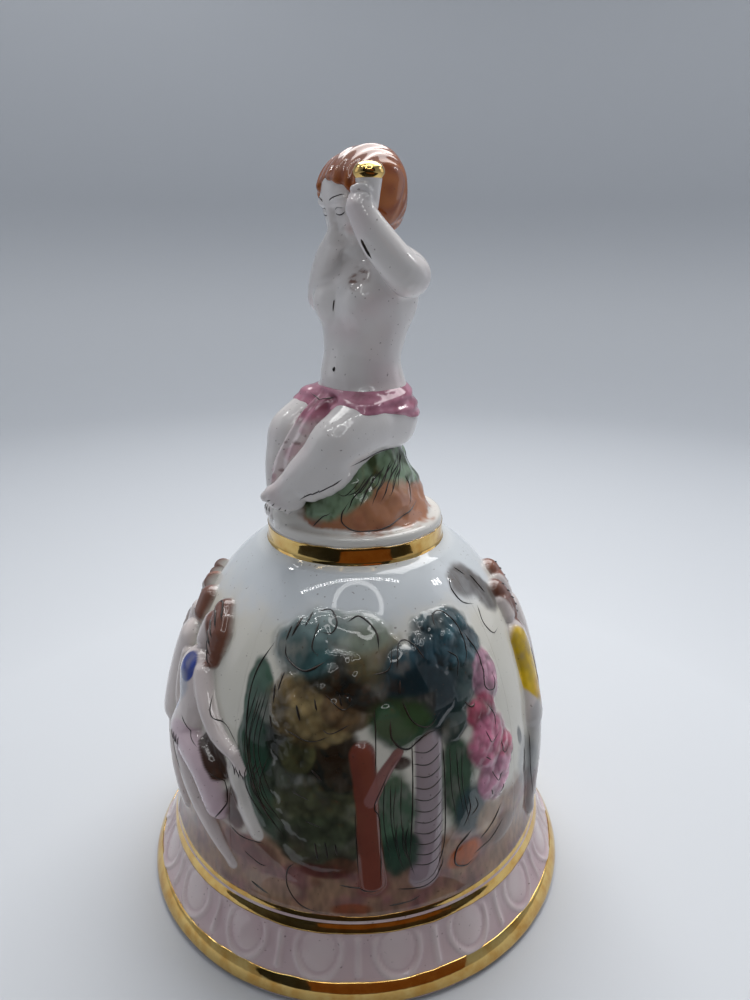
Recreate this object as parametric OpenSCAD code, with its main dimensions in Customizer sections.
// Porcelain table bell with a seated figure for a handle and a clapper on a chain.
// Millimetres. The origin is the centre of the rim plane and +Z runs up the bell's axis.
// The bell's painted front faces -Y, and bearings round the wall count from -Y towards +X.

/* [Bell] */
// Diameter over the lip
lip_d = 87; // [80:0.5:100]
// Height of the flat crown on which the handle is luted
crown_h = 74.2; // [70:0.1:86]
// Thickness of the porcelain wall
wall_t = 3.2; // [2.6:0.1:4]
// Thickness of the crown
crown_t = 5; // [4:0.5:7]
// Width of the flat foot ring
foot_w = 2.7; // [2:0.1:3.5]
// Height of the widest point of the lip
lip_h = 1.2; // [0.8:0.1:2]
// Height where the gilded lip ends and the moulded band starts
band_z = 4; // [3:0.1:5]
// How far the start of the moulded band stands in from the lip
band_foot_in = 1.3; // [1:0.1:2]
// Height of the top of the moulded band
band_h = 11.7; // [10:0.1:13]
// How far the top of the moulded band stands in from the lip
band_in = 4.7; // [4:0.1:5.5]
// Height of the gilded shoulder line above the moulded band
shoulder_h = 2.5; // [1.5:0.1:3]
// Height where the dome springs
dome_z = 20; // [18:0.5:24]
// How far the dome stands in from the lip
dome_in = 6.6; // [6:0.1:8]
// Squareness of the dome's outline, where 2 is an ellipse
dome_power = 2.3; // [2.1:0.05:2.6]
// Diameter of the collar under the handle
collar_d = 33.6; // [30:0.1:36]
// Rise of the dome's own apex over the flat crown
dome_over = 1.1; // [0.8:0.1:2]

/* [Gilding] */
// Thickness of the fired gold film, thicker than life so that it is a solid
gild_t = 0.12; // [0.1:0.01:0.2]

/* [Relief] */
// How far the foliage stands out of the wall
tree_proud = 2; // [1:0.1:2.6]
// How far the figures on the wall stand out of it
people_proud = 2.6; // [1.5:0.1:3]
// Radius of a tree trunk
trunk_r = 1.6; // [1.2:0.1:2]
// Height of the painted ground line
ground_z = 16; // [15:0.5:18]

/* [Handle] */
// Height of the seated figure over the crown
figure_h = 65.6; // [60:0.1:70]
// Bearing in which the figure faces
figure_turn = -50.3; // [-60:0.1:60]
// Height of the rock seat over the crown
seat_h = 17.5; // [16:0.1:19]
// Height of the round flange under the rock
flange_h = 1.6; // [1.2:0.1:2.4]
// Wall of the hollow rock
rock_wall = 3.5; // [3:0.1:5]
// Thickness of the waist drape
drape_t = 0.8; // [0.6:0.1:1.2]
// Diameter of the gilded cup at its brim
cup_d = 4.6; // [4:0.1:5.4]
// Height of the gilded cup
cup_h = 6; // [5:0.1:7]

/* [Clapper] */
// Diameter of the chain and pin wire
wire_d = 1.1; // [0.9:0.05:1.3]
// Width of a chain link over the wire
link_w = 5.5; // [5:0.1:6.5]
// Length of a chain link over the wire
link_l = 8.5; // [8:0.1:10]
// Play left between two links that hang in each other
link_play = 0.05; // [0.03:0.01:0.1]
// Diameter of the clapper ball
ball_d = 15; // [12:0.1:16]
// Height of the centre of the clapper ball
ball_z = 22; // [20:0.5:26]
// Diameter of the hole in the crown
crown_hole_d = 7; // [6:0.1:9]
// Diameter of the plaster boss under the crown
boss_d = 11; // [10:0.1:13]
// Depth of the plaster boss under the crown
boss_h = 2; // [1.5:0.1:3]

/* [Hidden] */

PORCELAIN = [0.93, 0.91, 0.90];
ROSE_GLAZE = [0.82, 0.62, 0.70];
GOLD = [0.80, 0.62, 0.25];
FLESH_GLAZE = [0.90, 0.84, 0.83];
HAIR_GLAZE = [0.55, 0.28, 0.18];
GREEN_GLAZE = [0.16, 0.30, 0.28];
OLIVE_GLAZE = [0.36, 0.33, 0.22];
ROCK_GLAZE = [0.52, 0.42, 0.28];
PLASTER = [0.88, 0.86, 0.80];
BRASS = [0.72, 0.58, 0.28];

ROUND = 96;            // segments round an exact surface
LIMB_FN = 22;          // segments of the balls that a limb's hulls join
DOME_STEPS = 12;       // cones that make up the dome

lip_r = lip_d / 2;
band_foot_r = lip_r - band_foot_in;
band_r = lip_r - band_in;
dome_r = lip_r - dome_in;
collar_r = collar_d / 2;
foot_out_r = lip_r - 0.8;
foot_in_r = foot_out_r - foot_w;
shoulder_r = band_r - 0.8;
shoulder_z = band_h + shoulder_h;
dome_rise = crown_h + dome_over - dome_z;
cavity_top = crown_h - crown_t;

// Radius at a height of a superellipse with its foot at z0
function arch_r(a, rise, z0, z) = a * pow(1 - pow(max(z - z0, 0) / rise, dome_power), 1 / dome_power);

// Points up a superellipse from its foot to radius r_end
function arch(a, rise, z0, r_end) =
    let (last = acos(pow(r_end / a, dome_power / 2)))
    [for (i = [0 : DOME_STEPS])
        let (t = last * i / DOME_STEPS)
        [a * pow(cos(t), 2 / dome_power), z0 + rise * pow(sin(t), 2 / dome_power)]];

function lerp(a, b, t) = a + (b - a) * t;

// Outline of each zone of the outside, from the foot up
lip_line = [[foot_out_r, 0], [lip_r, lip_h], [lip_r - 0.2, 2], [band_foot_r, band_z]];
band_line = [for (t = [0.25 : 0.25 : 1])
    [lerp(band_r, band_foot_r, pow(1 - t, 1.6)), lerp(band_z, band_h, t)]];
shoulder_line = [[shoulder_r, shoulder_z]];
dome_line = arch(dome_r, dome_rise, dome_z, collar_r);
dome_top_z = dome_line[DOME_STEPS][1];
outside = concat(lip_line, band_line, shoulder_line, dome_line, [[collar_r, crown_h]]);

// Outline of the hollow, from the foot up
inside_arch = arch(dome_r - wall_t, cavity_top - dome_z, dome_z, crown_hole_d / 2);
inside = concat(
    [[foot_in_r, 0], [band_r - 0.7 * wall_t, 0.6 * band_h], [shoulder_r - wall_t, shoulder_z]],
    inside_arch);

// Outer radius of the wall at a height above the moulded band
function wall_r(z) = z < dome_z ? lerp(shoulder_r, dome_r, (z - shoulder_z) / (dome_z - shoulder_z))
    : arch_r(dome_r, dome_rise, dome_z, z);

// Point at a bearing and height, standing out of the wall
function on_wall(bearing, z, out) =
    [(wall_r(z) + out) * sin(bearing), -(wall_r(z) + out) * cos(bearing), z];

module bell_solid() {
    rotate_extrude($fn = ROUND) polygon(concat([[0, 0]], outside, [[0, crown_h]]));
}

module bell_hollow() {
    rotate_extrude($fn = ROUND) polygon(concat([[0, -1], [foot_in_r, -1]], inside,
        [[crown_hole_d / 2, crown_h + 1], [0, crown_h + 1]]));
}

module bell_body() {
    color(PORCELAIN) difference() {
        bell_solid();
        bell_hollow();
    }
}

// Film of gold on a stretch of the outside
module gold_film(line) {
    film = concat(line, [for (i = [len(line) - 1 : -1 : 0]) [line[i][0] + gild_t, line[i][1]]]);
    color(GOLD) rotate_extrude($fn = ROUND) polygon(film);
}

module lip_gilding() {
    gold_film([lip_line[1], lip_line[2], lip_line[3]]);
}

module shoulder_gilding() {
    gold_film([[band_r, band_h], shoulder_line[0]]);
}

module collar_gilding() {
    gold_film([[collar_r, dome_top_z], [collar_r, crown_h]]);
}

// Direction out of the wall at a bearing and height
function wall_normal(bearing, z) =
    let (slope = wall_r(z + 0.5) - wall_r(z - 0.5), n = [1, -slope] / norm([1, slope]))
    [n[0] * sin(bearing), -n[0] * cos(bearing), n[1]];

// Shallow cap of radius r on the curved wall, cut from a ball that is mostly inside it
module boss(bearing, z, r, proud) {
    ball_r = 1 / (2 * proud / (r * r) + 1 / wall_r(z));
    translate(on_wall(bearing, z, 0) + (proud - ball_r) * wall_normal(bearing, z)) sphere(r = ball_r, $fn = ROUND);
}

// Straight rod between two points
module rod(from, to, r) {
    v = to - from;
    translate(from)
        rotate([0, acos(v[2] / norm(v)), atan2(v[1], v[0])])
            cylinder(h = norm(v), r = r, $fn = 48);
}

// Rod lying on the wall, with a ball at each end
module wall_limb(b0, z0, b1, z1, r, out = 0) {
    rod(on_wall(b0, z0, out), on_wall(b1, z1, out), r);
    translate(on_wall(b0, z0, out)) sphere(r = 1.1 * r, $fn = 48);
    translate(on_wall(b1, z1, out)) sphere(r = 1.1 * r, $fn = 48);
}

// Keeps only what stands out of the wall
module sprig() {
    difference() {
        children();
        bell_solid();
    }
}

// Standing person in relief: head, body and two legs
module wall_person(bearing, foot, height) {
    hip = foot + 0.5 * height;
    chest = foot + 0.74 * height;
    body_r = 1.5 * people_proud;
    leg_r = 0.9 * people_proud;
    translate(on_wall(bearing, foot + 0.91 * height, -0.2 * people_proud)) sphere(r = people_proud, $fn = 48);
    wall_limb(bearing, hip, bearing, chest, body_r, people_proud - 1.1 * body_r);
    wall_limb(bearing - 4, foot + 1, bearing - 2, hip, leg_r, -0.3 * leg_r);
    wall_limb(bearing + 5, foot + 1, bearing + 2, hip, leg_r, -0.3 * leg_r);
}

module relief_couple() {
    color(FLESH_GLAZE) sprig() {
        wall_person(-76, ground_z, 44);
        wall_person(-60, ground_z, 44);
    }
}

module relief_cypress() {
    color(GREEN_GLAZE) sprig() wall_limb(-28, 28, -29, 50, 0.9 * tree_proud);
}

module relief_left_tree() {
    color(OLIVE_GLAZE) sprig() {
        boss(-14, 59, 8, tree_proud);
        boss(-1, 56, 5, tree_proud);
        boss(-13, 45, 7, tree_proud);
        boss(-9, 33, 8, tree_proud);
        wall_limb(2, ground_z + 3, 2, 52, trunk_r);
        wall_limb(3, 34, 9, 43, 0.6 * trunk_r);
    }
}

module relief_right_tree() {
    color(GREEN_GLAZE) sprig() {
        boss(26, 58, 8, tree_proud);
        boss(17.5, 51, 6, tree_proud);
        boss(29, 49, 5, tree_proud);
        wall_limb(19, ground_z + 3, 20, 45, trunk_r);
        wall_limb(31, 24, 31, 40, 0.7 * trunk_r);
    }
}

module relief_rose_bush() {
    color(ROSE_GLAZE) sprig() {
        boss(48, 50, 5, tree_proud);
        boss(43, 42, 5, tree_proud);
        boss(47, 34, 5.5, tree_proud);
    }
}

module relief_pair() {
    color(FLESH_GLAZE) sprig() {
        wall_person(72, ground_z, 42);
        wall_person(88, ground_z, 44);
    }
}

module relief_back_dancers() {
    color(FLESH_GLAZE) sprig() {
        wall_person(165, ground_z, 42);
        wall_person(184, ground_z, 44);
    }
}

module relief_back_tree() {
    color(OLIVE_GLAZE) sprig() {
        boss(214, 56, 9, tree_proud);
        boss(226, 48, 9, tree_proud);
        wall_limb(219, ground_z + 3, 219, 48, trunk_r);
    }
}

// The figure is laid out for this height, forward along +X and its left along +Y
LAYOUT_H = 65.6;
PELVIS = [-1.9, 0.9, 18];
HIPS = [-1.9, 0.9, 22.8];
WAIST = [-1, 0.8, 30.3];
RIBS = [-1.4, 1.1, 36.8];
CHEST = [-1.8, 1.5, 42.5];
YOKE = [-1.9, 1.6, 46.6];
NECK = [-1, 1.6, 51];
HEAD = [0, 1.3, 57.8];
CUP = [4.6, 9.2, 56.8];
LEFT_ARM = [[-1.7, 8.6, 46.8], [0, 12, 45.6], [1.8, 14.2, 45.4], [4.2, 11, 51], [6, 8.6, 56], [4.8, 9.2, 58]];
LEFT_ARM_R = [4.1, 4.1, 3.9, 3.4, 2.4, 2.2];
RIGHT_ARM = [[-1.8, -5.6, 46.8], [-1.6, -7.4, 43.6], [-0.8, -8.2, 40.6], [2, -5.4, 44.2], [4.2, -2.1, 47.4], [4.6, 0, 49.6]];
RIGHT_ARM_R = [3.9, 3.6, 3.2, 2.7, 2.1, 2.1];
LEFT_LEG = [[-1.6, 5, 20.4], [4.8, 6.2, 20], [10.9, 6.4, 18.2], [15, 3.2, 12.2], [16.6, 0.8, 9.6], [19.8, -2.2, 6.6]];
LEFT_LEG_R = [6.4, 5.8, 4.9, 3.6, 2.5, 1.7];
RIGHT_LEG = [[-1.6, -3.6, 20.4], [3.8, -5.2, 19.8], [8.6, -6.4, 17], [11.8, -6.4, 11.4], [13.2, -6, 5.6], [16.4, -5.2, 3.6]];
RIGHT_LEG_R = [6.4, 5.6, 4.8, 3.8, 2.6, 1.8];

// Puts a piece of the figure on the crown at its size and bearing
module seated() {
    translate([0, 0, crown_h])
        rotate([0, 0, figure_turn - 90])
            scale(figure_h / LAYOUT_H)
                children();
}

// Ellipsoid of half depth, half width and half height
module pad(centre, half) {
    translate(centre) scale(half) sphere(r = 1, $fn = LIMB_FN);
}

// Limb through a row of joints, each with its own radius
module limb(points, radii) {
    for (i = [0 : len(points) - 2]) hull() {
        translate(points[i]) sphere(r = radii[i], $fn = LIMB_FN);
        translate(points[i + 1]) sphere(r = radii[i + 1], $fn = LIMB_FN);
    }
}

module torso_shape() {
    hull() {
        pad(PELVIS, [8.4, 9.6, 5]);
        pad(HIPS, [7.8, 9.2, 4]);
    }
    hull() {
        pad(HIPS, [7.8, 9.2, 4]);
        pad(WAIST, [6.4, 7.6, 3]);
    }
    hull() {
        pad(WAIST, [6.4, 7.6, 3]);
        pad(RIBS, [7.2, 8.6, 3]);
    }
    hull() {
        pad(RIBS, [7.2, 8.6, 3]);
        pad(CHEST, [7.4, 9, 4]);
    }
    hull() {
        pad(CHEST, [7.4, 9, 4]);
        pad(YOKE, [4.8, 8.2, 3]);
    }
    hull() {
        pad(YOKE, [4.4, 6, 3]);
        pad(NECK, [3.4, 3.4, 3.4]);
    }
}

module left_leg_shape() {
    limb(LEFT_LEG, LEFT_LEG_R);
}

module right_leg_shape() {
    limb(RIGHT_LEG, RIGHT_LEG_R);
}

module head_shape() {
    hull() {
        pad(HEAD, [7.8, 7.4, 7.8]);
        pad(HEAD + [3, 0, -4], [3.6, 4, 3.6]);
    }
    hull() {
        pad(HEAD + [-3.6, 0, -1], [5, 6.6, 6]);
        pad(HEAD + [-4, 0, -5.5], [3, 4.6, 3]);
    }
}

rock_line = [[collar_r, 0], [collar_r, flange_h], [0.76 * collar_r, 5.8], [0.65 * collar_r, 10.8],
    [0.56 * collar_r, 15.8], [0.5 * collar_r, seat_h]];

module rock_solid() {
    rotate_extrude($fn = ROUND) polygon(concat([[0, 0]], rock_line, [[0, seat_h]]));
}

module rock_seat() {
    color(ROCK_GLAZE) translate([0, 0, crown_h]) difference() {
        rock_solid();
        translate([0, 0, -1])
            cylinder(h = seat_h - rock_wall + 1, r1 = 0.76 * collar_r - rock_wall,
                r2 = 0.5 * collar_r - rock_wall, $fn = ROUND);
    }
}

module rock_cutter() {
    translate([0, 0, crown_h]) rock_solid();
}

module figure_torso() {
    color(FLESH_GLAZE) difference() {
        seated() {
            torso_shape();
            hull() {
                pad(CHEST + [4.6, 3.6, -1.5], [3.4, 3.6, 3.4]);
                pad(RIBS + [3.6, 3, 0.5], [3, 3.4, 3]);
            }
            hull() {
                pad(CHEST + [4.6, -3.6, -1.5], [3.4, 3.6, 3.4]);
                pad(RIBS + [3.6, -3, 0.5], [3, 3.4, 3]);
            }
        }
        rock_cutter();
    }
}

module figure_left_leg() {
    color(FLESH_GLAZE) difference() {
        seated() left_leg_shape();
        seated() torso_shape();
        rock_cutter();
    }
}

module figure_right_leg() {
    color(FLESH_GLAZE) difference() {
        seated() right_leg_shape();
        seated() torso_shape();
        seated() left_leg_shape();
        rock_cutter();
    }
}

module figure_head() {
    color(HAIR_GLAZE) difference() {
        seated() head_shape();
        seated() torso_shape();
    }
}

module figure_left_arm() {
    color(FLESH_GLAZE) difference() {
        seated() limb(LEFT_ARM, LEFT_ARM_R);
        seated() torso_shape();
        seated() head_shape();
        seated() cup_shape();
    }
}

module figure_right_arm() {
    color(FLESH_GLAZE) difference() {
        seated() limb(RIGHT_ARM, RIGHT_ARM_R);
        figure_torso();
        seated() head_shape();
    }
}

module waist_drape() {
    grow = [drape_t, drape_t, 0];
    color(ROSE_GLAZE) difference() {
        seated() {
            hull() {
                pad(HIPS + [0, 0, 1.5], [7.6, 9, 2.6] + grow);
                pad(WAIST + [0, 0, -3.6], [6.8, 8, 2] + grow);
            }
            limb([HIPS + [7.6, 0, 1], [8, 0.4, 22.6], [11, 0.2, 17]], [2, 2.2, 1.8]);
        }
        seated() torso_shape();
        seated() left_leg_shape();
        seated() right_leg_shape();
        rock_cutter();
    }
}

module cup_shape() {
    brim = cup_d / 2;
    translate(CUP) rotate_extrude($fn = 48) polygon([
        [0, 0], [0.5 * brim, 0], [0.9 * brim, 0.6 * cup_h], [brim, 0.66 * cup_h],
        [brim, 0.84 * cup_h], [0.7 * brim, 0.96 * cup_h], [0, cup_h]]);
}

module gilded_cup() {
    color(GOLD) seated() cup_shape();
}

// Heights of the wire centres down the chain
wire_r = wire_d / 2;
bend_r = link_w / 2 - wire_r;
link_reach = link_l - wire_d;
drop = link_reach - wire_d - link_play;
boss_z = cavity_top - boss_h;
ring_z = boss_z - wire_r;
hang_z = ring_z - bend_r;
link_top_z = hang_z + wire_d + link_play;
eye_top_z = link_top_z - 3 * drop;
eye_z = eye_top_z - bend_r;
ball_r = ball_d / 2;
seat_cut = 0.2;
head_h = 0.9;

module wire_ring() {
    rotate([90, 0, 0]) rotate_extrude($fn = 48) translate([bend_r, 0]) circle(r = wire_r, $fn = 24);
}

module hanger_ring() {
    color(BRASS) translate([0, 0, ring_z]) wire_ring();
}

module crown_plug() {
    color(PLASTER) difference() {
        union() {
            intersection() {
                translate([0, 0, boss_z]) cylinder(h = crown_t, r = boss_d / 2, $fn = ROUND);
                bell_hollow();
            }
            translate([0, 0, boss_z]) cylinder(h = crown_h - boss_z, r = crown_hole_d / 2, $fn = ROUND);
        }
        hanger_ring();
    }
}

// Half of a link's bend
module bend() {
    rotate([90, 0, 0]) rotate_extrude(angle = 180, $fn = 48) translate([bend_r, 0]) circle(r = wire_r, $fn = 24);
}

// Oval link in the XZ plane, hung from its top wire centre
module oval_link() {
    straight = link_reach - 2 * bend_r;
    translate([0, 0, -bend_r]) bend();
    translate([0, 0, -bend_r - straight]) rotate([0, 180, 0]) bend();
    for (side = [-1, 1])
        translate([side * bend_r, 0, -bend_r - straight]) cylinder(h = straight, r = wire_r, $fn = 24);
}

module chain_link(n) {
    color(BRASS) translate([0, 0, link_top_z - (n - 1) * drop]) rotate([0, 0, n % 2 == 1 ? 90 : 0]) oval_link();
}

module chain_link_1() {
    chain_link(1);
}

module chain_link_2() {
    chain_link(2);
}

module chain_link_3() {
    chain_link(3);
}

module clapper_pin() {
    stem_r = 0.9 * wire_r;
    head_top = ball_z - ball_r + seat_cut;
    color(BRASS) {
        translate([0, 0, eye_z]) wire_ring();
        translate([0, 0, head_top - head_h / 2]) cylinder(h = eye_z - bend_r - head_top + head_h / 2, r = stem_r, $fn = 48);
        translate([0, 0, head_top - head_h]) cylinder(h = head_h, r = 1.5, $fn = 48);
    }
}

module clapper_ball() {
    color(PORCELAIN) translate([0, 0, ball_z]) difference() {
        sphere(r = ball_r, $fn = ROUND);
        cylinder(h = ball_d + 2, r = 0.9 * wire_r + 0.05, center = true, $fn = 48);
        translate([0, 0, -ball_r - 1]) cylinder(h = 1 + seat_cut, r = 3, $fn = 48);
    }
}

bell_body();
lip_gilding();
shoulder_gilding();
collar_gilding();
relief_couple();
relief_cypress();
relief_left_tree();
relief_right_tree();
relief_rose_bush();
relief_pair();
relief_back_dancers();
relief_back_tree();
rock_seat();
figure_torso();
figure_left_leg();
figure_right_leg();
figure_head();
figure_left_arm();
figure_right_arm();
waist_drape();
gilded_cup();
crown_plug();
hanger_ring();
chain_link_1();
chain_link_2();
chain_link_3();
clapper_pin();
clapper_ball();
